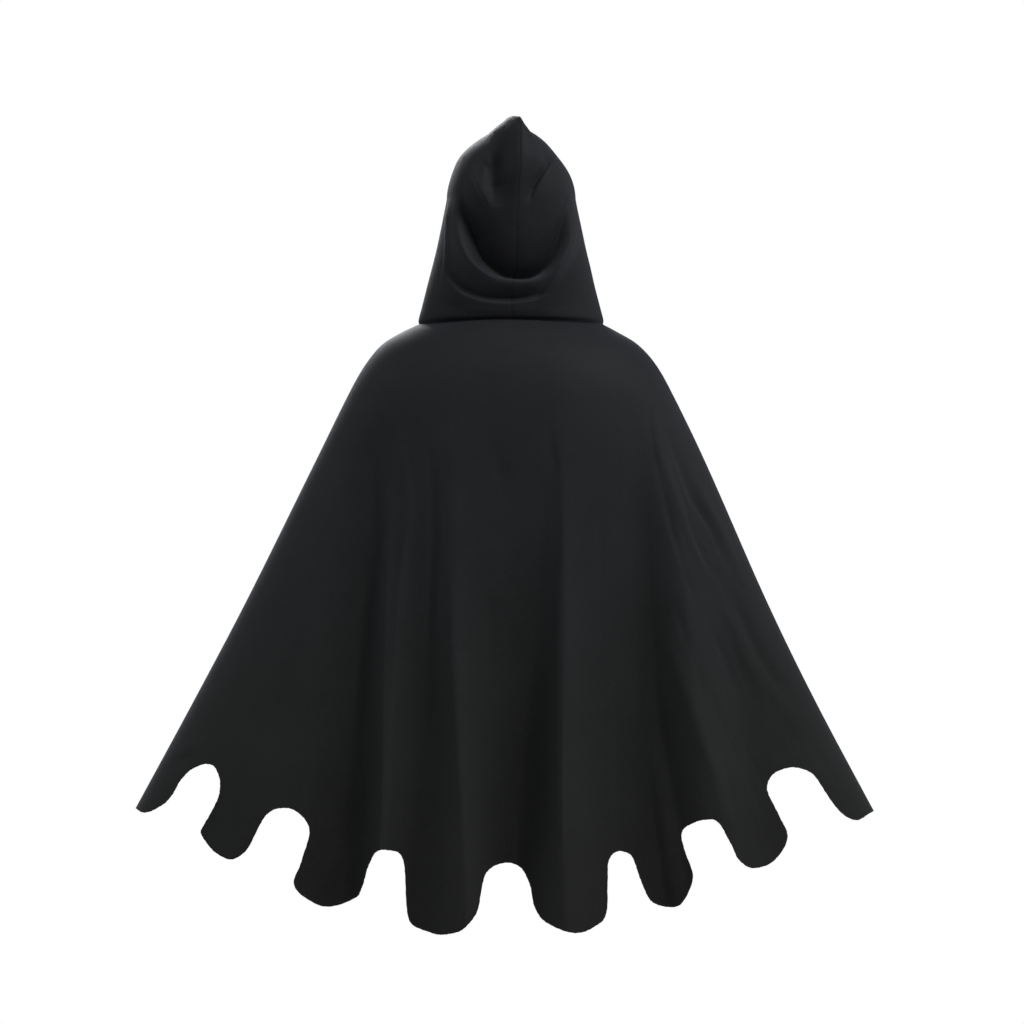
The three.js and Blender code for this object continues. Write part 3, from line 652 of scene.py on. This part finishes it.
def cutHem(made, side):
    if side:  # the fronts stay hidden behind the back
        cutters = [hemCutter(*hem["frontCut"], hem["frontShort"], 0)]
    else:  # the allowance that folds over behind the fronts' is cut a little shorter than they are
        short = hem["allowanceShort"]
        cutters = [hemCutter(*hem["backCut"], 0, 0), hemCutter(*hem["allowanceCut"], short, short)]
    for cutter in cutters:
        cut = made.modifiers.new("hemCut", "BOOLEAN")
        cut.operation = "DIFFERENCE"
        cut.solver = "MANIFOLD"
        cut.object = cutter
    applyModifiers(made)
    for cutter in cutters:
        bpy.data.objects.remove(cutter, do_unlink=True)


def seamAllowance(points, normals, first, rows):  # rows that stand in from a seam, and over to its other side
    edge, inward = (points[0], -normals[0]) if first else (points[-1], -normals[-1])
    inward = inward * [1, 0, 1]
    opened = smooth(np.arange(len(edge)), 0, cape["allowanceOpens"])[:, None]  # from nothing at the neck
    strips = [edge + (inward * deep + [0, over, 0]) * opened for deep, over in rows]
    return strips[::-1] if first else strips


def acrossAt(run, values, distance):  # what each row of a sheet holds at this distance from its edge
    found = np.empty(values.shape[1:])
    for j in range(values.shape[1]):
        for k in range(3):
            found[j, k] = np.interp(distance, run[:, j], values[:, j, k])
    return found


edgeRoll = ((0.15, 0.35), (0.5, 0.5), (0.85, 0.35))  # how far in and beyond the edge, in shares of its depth


def turnedEdge(points, normals, first, width, deep):  # a narrow hem, turned to the inside and laid flat
    order, facing = (points, normals[0]) if first else (points[::-1], normals[-1])
    run = distanceAlong(order, 0)
    roll = unit(order[0] - order[1])
    strips = [order[0] - facing * deep * inside + roll * deep * beyond for inside, beyond in edgeRoll]
    strips += [acrossAt(run, order, share * width) - facing * deep for share in (0, 0.25, 0.5, 0.75, 1)]
    return strips[::-1] if first else strips


def capePanel(name, folds, creases, side):  # side is 1 for the left front, -1 for the right one, else 0
    gaps = len(folds["chest"]) + 1
    ats = np.linspace(0, gaps, gaps * cape["columnsPerFold"] + 1)
    t = np.linspace(0, 1, cape["rows"] + 1)
    shares = cape["rowsAtNeck"] * t ** cape["neckPower"] + (1 - cape["rowsAtNeck"]) * t
    quarter = np.full_like(shares, math.pi / 2)
    if side:
        half = columnAt(cape["sections"], "share", "leftX" if side > 0 else "rightX", shares)
        inset = columnAt(cape["frontEdge"], "share", "inset", shares)
        edge = side * (math.pi - np.arcsin(inset / half))
        first, last = (quarter, edge) if side > 0 else (edge, -quarter)
    else:
        first, last = -quarter, quarter
    turn, height = foldsAt(folds, first, last, side, ats, shares)
    share = np.broadcast_to(shares, turn.shape)
    plain = capePoints(turn, share, height)
    x, z = plain[..., 0], plain[..., 2]
    fromEdges = smooth(np.minimum(ats, gaps - ats), 0, cape["wavesFullAt"])[:, None]
    loose = sum(unevenness(x + shift, z * stretch, size, tall) for shift, stretch, size, tall in cape["waves"])
    height = height + creaseHeight(creases, x, z) + loose * fromEdges
    points = capePoints(turn, share, height)
    normals = outwards(points)
    if side > 0:
        beyondLap = smooth(np.abs(points[..., 0]), cape["lapFrom"], cape["lapTo"])
        points = points + normals * (cape["lap"] * (1 - beyondLap))[..., None]
    points[..., 1] += (-1 if side else 1) * cape["seamGap"] / 2
    ends = []
    for first in (True, False):
        if side == (-1 if first else 1):
            ends.append(turnedEdge(points, normals, first, cape["edgeHem"], cape["edgeHemDeep"]))
        else:
            rows = cape["frontAllowance" if side else "backAllowance"]
            ends.append(seamAllowance(points, normals, first, rows))
    before, after = ends
    # the fold heights go with the sheet, for the painted shade in its hollows and painted light on its raised
    # folds
    made = gridMesh(name, np.array([*before, *points, *after]),
                    np.pad(height, ((len(before), len(after)), (0, 0)), mode="edge"))
    giveWall(made, cape["thickness"])
    cutHem(made, side)
    dress(made, blackCloth)
    print(name, "hangs,", len(made.data.polygons), "faces")
    return made, points, normals


backPanel = capePanel("backPanel", backFolds, backCreases, 0)[0]
frontLeft, leftPoints, leftNormals = capePanel("frontLeftPanel", frontLeftFolds, [], 1)
frontRight, rightPoints, rightNormals = capePanel("frontRightPanel", frontRightFolds, [], -1)
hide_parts("back")
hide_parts("front_left")
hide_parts("front_right")

hood = {
    "thickness": 0.8,
    "columns": 120, "neckRows": 118, "crownRows": 64, "columnsAtSeam": 0.55, "seamPower": 1.8,
    "sections": table(
        ("rise", "halfWidth", "sideZ", "backY", "backZ", "faceX", "faceY", "faceZ"), (
            (0, 136, 1.4, 81, 5.4, 15, -76, -58),
            (0.035, 136.5, 7, 85, 9, 19, -82, -53),
            (0.14, 131, 28, 88, 24, 38, -93, -28),
            (0.4, 119, 76, 97, 68, 66, -106, 34),
            (0.7, 106, 131, 106, 128, 81, -114, 106),
            (1, 95, 185, 112, 186, 79, -114, 174),
        )),
    "fullness": 0.12,
    "crownHeight": 104, "crownPower": 1.1,
    "foreheadY": -101, "foreheadZ": 266, "peakY": 80, "peakZ": 283,
    "middleZ": 185, "leanSpread": 48,
    "upperLean": {"x": 4.2, "z": 250, "reach": 22},
    # the hood's fold heights are made stronger by this factor, for their painted shade in hollows and painted
    # light on ridges
    "edgeHem": 16, "edgeHemDeep": 1.9, "dyeAndFoldShade": 1.4,
    "peakBlunt": 6.5, "peakPower": 1.15, "seamDip": 0.6, "seamDipWidth": 1.7,
    "creasesFromY": 12, "creasesFullY": 52, "creasesFullRise": 0.1,
    "waveSize": 24, "waveHeight": 0.5, "wavesFullRise": 0.2, "wavesFadeTop": 0.3,
    # the middle seam's allowances, as columns and how deep they lie, and the neck's, as how deep and how low
    "seamTurn": 0.9,
    "allowance": {"left": ((1, 1.7), (2, 1.9), (5, 2.0)), "right": ((1, 2.8), (2, 3.1), (5, 3.2))},
    "neckAllowance": ((0.9, 0.7), (1.7, 3.0), (2.6, 9.0)),
}
# where the middle seam lies, and how high the peaked fold stands along it and how wide its left slope is
seamPath = table(("z", "x"), ((0, -1), (50, -1), (62, -3), (80, -7), (150, -9), (205, -12), (240, -17),
                              (260, -17), (283, -13), (310, -13)))
peakFold = table(("angle", "height", "left", "right"), (
    (-24, 0, 60, 12), (0, 4, 58, 14), (8, 8, 55, 18), (16, 14, 42, 30), (25, 18, 34, 42), (40, 21, 30, 34),
    (47, 20, 32, 13), (53, 20, 34, 8), (64, 17, 30, 8), (90, 7, 30, 8), (112, 0, 30, 8)))
hoodCreases = [
    # the deep hollow behind the neck: steep below and at its left, running out to the right
    (-22, 5, 76, 0.55, (0, 0.1, 0.6, 1, 1, 1, 1, 0.85, 0.6, 0.4, 0.2, 0), [(70, 216), (71, 188), (71, 157),
     (65, 123), (52, 94), (33, 76), (15, 66), (-3, 63), (-19, 62.5), (-36, 65.5), (-50, 75), (-62, 91),
     (-71, 111), (-76, 137), (-81, 190)]),
    # the roll of cloth round it
    (7, 24, 6, 0.2, (0, 0.3, 0.9, 1, 1, 1, 1, 1, 1, 0.8, 0.5, 0), [(82, 212), (79, 188), (78, 155), (71, 119),
     (56, 89), (36, 70.5), (17, 60), (-3, 57), (-20, 56.5), (-39, 59.5), (-54, 69.5), (-67, 86), (-77, 108),
     (-82, 135), (-87, 190)]),
    # the second roll below it, which lies on the flat collar part
    (-6.5, 6, 20, 0.4, (0, 0.7, 1, 1, 1, 1, 0), [(97, 87), (84, 64), (70, 49), (39, 37), (-1, 34), (-33, 39),
     (-47, 46)]),
    (3.5, 30, 5, 0.4, (0, 0.8, 1, 1, 1, 0.8, 0), [(97, 80), (85, 57), (70, 41), (39, 29), (-1, 26), (-33, 31),
     (-60, 42)]),
    # the long creases at either side
    (7, 5, 30, 0.6, (0, 0.6, 1, 1, 0.2), [(-85, 176), (-83, 131), (-67, 86), (-54, 57), (-41, 30)]),
    (3.5, 5, 9, 0.6, (0, 1, 0.8, 0.6, 0), [(93, 190), (90, 154), (94, 122), (96, 87), (101, 50)]),
    # the valleys and ridges between the peak and the hollow, on its left
    (-15, 14, 42, 0.2, (0, 0.8, 1, 0.9, 0), [(6, 286), (15, 262), (25, 238), (29, 206), (24, 165)]),
    (4.5, 9, 16, 0.6, (0, 1, 0.7, 0), [(64, 240), (48, 201), (32, 168), (16, 130)]),
    (-2.6, 5, 5, 0.5, (0, 1, 0), [(42, 238), (38, 226), (34, 214)]),
    # and on its right, beyond the flat facet
    (-6.5, 28, 6, 0.7, (0, 1, 1, 0.8, 0), [(-68, 250), (-60, 238), (-46, 215), (-33, 191), (-26, 170)]),
]


def hoodSections(rise):
    low = np.minimum(rise, 1)
    at = {name: columnAt(hood["sections"], "rise", name, low) for name in hood["sections"] if name != "rise"}
    angle = np.clip(rise - 1, 0, 1) * math.pi / 2
    up = np.sin(angle) ** hood["crownPower"]
    across = np.maximum(np.cos(angle), 0) ** hood["crownPower"]
    at["halfWidth"] = at["halfWidth"] * across
    at["sideZ"] = at["sideZ"] + hood["crownHeight"] * up
    at["backY"] = hood["peakY"] + (at["backY"] - hood["peakY"]) * across
    at["backZ"] = at["backZ"] + (hood["peakZ"] - at["backZ"]) * up
    at["faceX"] = at["faceX"] * across
    at["faceY"] = hood["foreheadY"] + (at["faceY"] - hood["foreheadY"]) * across
    at["faceZ"] = at["faceZ"] + (hood["foreheadZ"] - at["faceZ"]) * up
    return at


def hoodPoints(turn, rise):
    at = hoodSections(rise)
    width = np.maximum(at["halfWidth"], 1e-3)
    faceTurn = math.pi - np.arcsin(np.clip(at["faceX"] / width, -1, 1))
    angle = turn * faceTurn
    side, along = np.sin(angle), np.cos(angle)
    behind = np.maximum(along, 0)
    forward = np.where(along < 0, along / np.cos(faceTurn), 0)
    lean = columnAt(seamPath, "z", "x", at["backZ"])
    x = at["halfWidth"] * side + lean * np.exp(-((angle / math.radians(hood["leanSpread"])) ** 2))
    y = at["backY"] * behind * (1 + hood["fullness"] * side * side) + at["faceY"] * forward
    z = at["sideZ"] + (at["backZ"] - at["sideZ"]) * behind ** 2 + (at["faceZ"] - at["sideZ"]) * forward ** 2
    upper = hood["upperLean"]
    x = x + upper["x"] * np.exp(-((z - upper["z"]) / upper["reach"]) ** 2)
    point = np.stack([x, y, z], -1)
    up = np.maximum(z - hood["middleZ"], 0)
    away = np.stack([np.zeros_like(y), y, up], -1) / np.maximum(np.hypot(y, up), 1e-6)[..., None]
    outward = unit(np.stack([at["backY"] * side, at["halfWidth"] * along, np.zeros_like(y)], -1))
    overhead = smooth(rise, 1, 2)[..., None]
    outward = outward * (1 - overhead) + overhead * [0, 0, 1.0]
    turnUp = np.degrees(np.arctan2(z - hood["middleZ"], y))
    tall = np.interp(turnUp, peakFold["angle"], peakFold["height"])
    left, right = (np.interp(turnUp, peakFold["angle"], peakFold[name]) for name in ("left", "right"))
    off = at["halfWidth"] * side
    blunt = np.hypot(off, hood["peakBlunt"]) - hood["peakBlunt"]
    fold = tall * np.clip(1 - blunt / np.where(off > 0, left, right), 0, 1) ** hood["peakPower"]
    fold = fold - hood["seamDip"] * np.exp(-(off / hood["seamDipWidth"]) ** 2)
    behindHead = smooth(y, hood["creasesFromY"], hood["creasesFullY"])
    drawn = creaseHeight(hoodCreases, x, z) * behindHead * smooth(rise, 0, hood["creasesFullRise"])
    waves = unevenness(x, z, hood["waveSize"], hood["waveHeight"])
    drawn = drawn + waves * smooth(rise, 0, hood["wavesFullRise"]) * smooth(2 - rise, 0, hood["wavesFadeTop"])
    return point + away * fold[..., None] + outward * drawn[..., None], drawn


def hoodGrid(side):  # from the wearer's right to left, and from the crown down
    t = np.linspace(0, 1, hood["columns"] + 1)
    turns = side * (hood["columnsAtSeam"] * t ** hood["seamPower"] + (1 - hood["columnsAtSeam"]) * t)
    rises = np.linspace(0, 1, hood["neckRows"] + 1), np.linspace(1, 2, hood["crownRows"] + 1)[1:]
    rises = np.concatenate(rises)
    turn, rise = np.meshgrid(np.sort(turns), rises[::-1], indexing="ij")
    points, drawn = hoodPoints(turn, rise)
    points[..., 0] += side * cape["seamGap"] / 2
    normals = outwards(points)
    normals[:, :4] = normals[:, 4:5]  # the rows close up towards the crown
    return points, normals, drawn


def hoodHalf(name, side):
    points, normals, drawn = hoodGrid(side)
    seam, facing = (points[0], normals[0]) if side > 0 else (points[-1], normals[-1])
    strips = [seam + unit(-facing * [0, 1, 1]) * hood["seamTurn"]]
    under, out = hoodGrid(1)[:2]  # both allowances lie to the left, one on the other
    for column, deep in hood["allowance"]["left" if side > 0 else "right"]:
        strips.append(under[column] - out[column] * deep)
    face = turnedEdge(points, normals, side < 0, hood["edgeHem"], hood["edgeHemDeep"])
    sheet = np.array([*strips[::-1], *points, *face] if side > 0 else [*face, *points, *strips])
    neck = sheet[:, -1]
    toMiddle = unit(-neck * [1, 1, 0])
    for deep, down in hood["neckAllowance"]:  # hangs inside the cape
        sheet = np.concatenate([sheet, (neck + toMiddle * deep - [0, 0, down])[:, None]], 1)
    ends = (len(strips), len(face)) if side > 0 else (len(face), len(strips))
    drawn = np.pad(drawn, (ends, (0, len(hood["neckAllowance"]))), mode="edge")
    # the crease heights, made stronger, set the painted shade in the hood's hollows and painted light on its
    # ridges
    made = gridMesh(name, sheet, hood["dyeAndFoldShade"] * drawn)
    giveWall(made, hood["thickness"])
    dress(made, blackCloth, 60)
    print(name, "is shaped,", len(made.data.polygons), "faces")
    return made, points, normals


hoodLeft, hoodLeftPoints, hoodLeftNormals = hoodHalf("hoodLeftHalf", 1)
hoodRight, hoodRightPoints, hoodRightNormals = hoodHalf("hoodRightHalf", -1)
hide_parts("hood_left")
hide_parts("hood_right")

stitch = {
    "long": 2.3, "step": 3.3, "thick": 0.42, "lift": 0.07, "blunt": 0.6, "dip": 0.12,
    "fromEdge": 11.5, "fromFace": 13.5,
    "downTo": -768,  # the notch at the middle of the hem
}


def makeStitches(name, places, directions, normals, long, thick):  # one thread stitch, set down many times
    bpy.ops.object.select_all(action="DESELECT")
    bpy.ops.mesh.primitive_uv_sphere_add(segments=8, ring_count=5, radius=1)
    one = bpy.context.object
    corners = np.empty(len(one.data.vertices) * 3)
    one.data.vertices.foreach_get("co", corners)
    corners = corners.reshape(-1, 3)
    corners = np.stack([corners[:, 0] * thick / 2, corners[:, 1] * thick / 2,
                        np.sign(corners[:, 2]) * np.abs(corners[:, 2]) ** stitch["blunt"] * long / 2], 1)
    corners[:, 0] -= stitch["dip"] * thick * (corners[:, 2] / long * 2) ** 2  # its ends dip into the cloth
    faces = [list(p.vertices) for p in one.data.polygons]
    bpy.data.objects.remove(one, do_unlink=True)
    verts, polygons = [], []
    for k, (place, along, up) in enumerate(zip(places, directions, normals)):
        frameOf = np.stack([up, unit(np.cross(up, along)), along])
        verts.append(place + corners @ frameOf)
        polygons.extend([[v + k * len(corners) for v in face] for face in faces])
    mesh = bpy.data.meshes.new(name)
    mesh.from_pydata((np.concatenate(verts) * mm).tolist(), [], polygons)
    made = addObject(name, mesh)
    dress(made, sewingThread)
    print(name, "has", len(places), "stitches")


def stitchLine(name, points, normals, first, inset, low=-1e9):  # at this distance from the edge, down to low
    order, facing = (points, normals) if first else (points[::-1], normals[::-1])
    run = distanceAlong(order, 0)
    up = acrossAt(run, facing, inset)
    line = acrossAt(run, order, inset) + up * stitch["lift"]
    run = distanceAlong(line, 0)
    at = np.arange(stitch["step"], run[-1] - stitch["step"], stitch["step"])
    place, ahead, facing = (np.stack([np.interp(spot, run, values[:, k]) for k in range(3)], 1)
                            for spot, values in ((at, line), (at + 1, line), (at, up)))
    direction = unit(ahead - place)
    facing = unit(facing - direction * (facing * direction).sum(1, keepdims=True))
    kept = place[:, 2] > low
    makeStitches(name, place[kept], direction[kept], facing[kept], stitch["long"], stitch["thick"])


stitchLine("frontLeftStitches", leftPoints, leftNormals, False, stitch["fromEdge"], stitch["downTo"])
stitchLine("frontRightStitches", rightPoints, rightNormals, True, stitch["fromEdge"], stitch["downTo"])
stitchLine("hoodLeftStitches", hoodLeftPoints, hoodLeftNormals, False, stitch["fromFace"])
stitchLine("hoodRightStitches", hoodRightPoints, hoodRightNormals, True, stitch["fromFace"])

button = {
    "radius": 10, "thickness": 4, "rim": 1.9, "slope": 0.8, "dish": 1.3, "bevel": 0.55,
    "holeRadius": 1.1, "holeAt": 2.0, "drillLong": 12, "share": 0.021,
    "strandsAt": (-0.42, 0, 0.42), "strandLift": 0.2, "strandLong": 5.6, "strandThick": 0.55,
}
buttonhole = {"long": 24, "halfWide": 1.4, "stitches": 30, "lift": 0.12, "stitchLong": 2.4, "stitchThick": 0.7}


def buttonSpot():  # the middle of the lap at the throat, and the way out of the cloth there
    turn, share, step = np.array([math.pi]), np.array([button["share"]]), 0.004
    flat = np.zeros(1)
    across = capePoints(turn + step, share, flat) - capePoints(turn - step, share, flat)
    down = capePoints(turn, share + step, flat) - capePoints(turn, share - step, flat)
    out = unit(np.cross(across[0], down[0]))
    return capePoints(turn, share, flat)[0] + out * (cape["lap"] + cape["seamGap"]), out


def makeButton():
    spot, out = buttonSpot()
    bpy.ops.object.select_all(action="DESELECT")
    bpy.ops.mesh.primitive_cylinder_add(
        vertices=64, radius=button["radius"] * mm, depth=button["thickness"] * mm,
        location=(0, 0, button["thickness"] / 2 * mm))
    made = bpy.context.object
    made.name = "throatButton"
    bpy.ops.object.transform_apply(location=True, rotation=True, scale=True)
    bpy.ops.object.mode_set(mode="EDIT")
    bpy.ops.mesh.select_all(action="DESELECT")
    bpy.ops.object.mode_set(mode="OBJECT")
    for face in made.data.polygons:
        face.select = face.normal.z > 0.9
    bpy.ops.object.mode_set(mode="EDIT")
    bpy.ops.mesh.inset(thickness=button["rim"] * mm, depth=0)
    bpy.ops.mesh.inset(thickness=button["slope"] * mm, depth=-button["dish"] * mm)
    bpy.ops.object.mode_set(mode="OBJECT")
    drills = []
    for k in range(4):
        angle = math.radians(45 + 90 * k)
        reach = button["holeAt"] * math.sqrt(2) * mm
        bpy.ops.mesh.primitive_cylinder_add(
            vertices=24, radius=button["holeRadius"] * mm, depth=button["drillLong"] * mm,
            location=(reach * math.cos(angle), reach * math.sin(angle), 0))
        drill = bpy.context.object
        bpy.ops.object.transform_apply(location=True, rotation=True, scale=True)
        drills.append(drill)
        cut = made.modifiers.new("hole", "BOOLEAN")
        cut.operation = "DIFFERENCE"
        cut.solver = "EXACT"
        cut.object = drill
    rounded = made.modifiers.new("rounded", "BEVEL")
    rounded.width = button["bevel"] * mm
    rounded.segments = 3
    rounded.limit_method = "ANGLE"
    rounded.angle_limit = math.radians(40)
    applyModifiers(made)
    for drill in drills:
        bpy.data.objects.remove(drill, do_unlink=True)
    upright = Vector((0, 0, 1)).rotation_difference(Vector(out)).to_matrix().to_4x4()
    made.data.transform(Matrix.Translation(Vector(spot * mm)) @ upright)
    made.data.update()
    dress(made, blackPlastic, 40)
    print("the button has", len(made.data.polygons), "faces")
    return made, spot, out


def lapDirections(out):  # across the lap and up it
    across = unit(np.cross([0, 0, 1.0], out))
    return across, np.cross(out, across)


def makeButtonThread(spot, out):  # two bars of thread between its holes, each of three strands
    across, upward = lapDirections(out)
    middle = spot + out * (button["thickness"] - button["dish"] + button["strandLift"])
    places = [middle + across * (side * button["holeAt"] + shift)
              for side in (-1, 1) for shift in button["strandsAt"]]
    makeStitches("buttonThread", places, [upward] * len(places), [out] * len(places),
                 button["strandLong"], button["strandThick"])


def makeButtonhole(spot, out):  # close stitches round the slit that the button is passed through
    across, upward = lapDirections(out)
    places, directions, normals = [], [], []
    for k in range(buttonhole["stitches"]):
        at = (k / (buttonhole["stitches"] - 1) - 0.5) * buttonhole["long"]
        for side in (-1, 1):
            x, z = spot[0] + across[0] * at, spot[2] + upward[2] * side * buttonhole["halfWide"]
            nearest = np.argmin(((leftPoints[..., [0, 2]] - [x, z]) ** 2).sum(-1))
            corner = np.unravel_index(nearest, leftPoints.shape[:2])
            near, up = leftPoints[corner], leftNormals[corner]
            y = near[1] - (up[0] * (x - near[0]) + up[2] * (z - near[2])) / up[1]
            places.append(np.array([x, y, z]) + up * buttonhole["lift"])
            directions.append(unit(upward - up * upward.dot(up)))
            normals.append(up)
    makeStitches("buttonhole", places, directions, normals, buttonhole["stitchLong"], buttonhole["stitchThick"])


throatButton, spot, out = makeButton()
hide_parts("neck_button")
makeButtonThread(spot, out)
makeButtonhole(spot, out)

for piece in (backPanel, frontLeft, frontRight, hoodLeft, hoodRight):
    area = sum(p.area for p in piece.data.polygons) / 2
    print(piece.name, "area", round(area, 3), "size", [round(s, 3) for s in piece.dimensions])
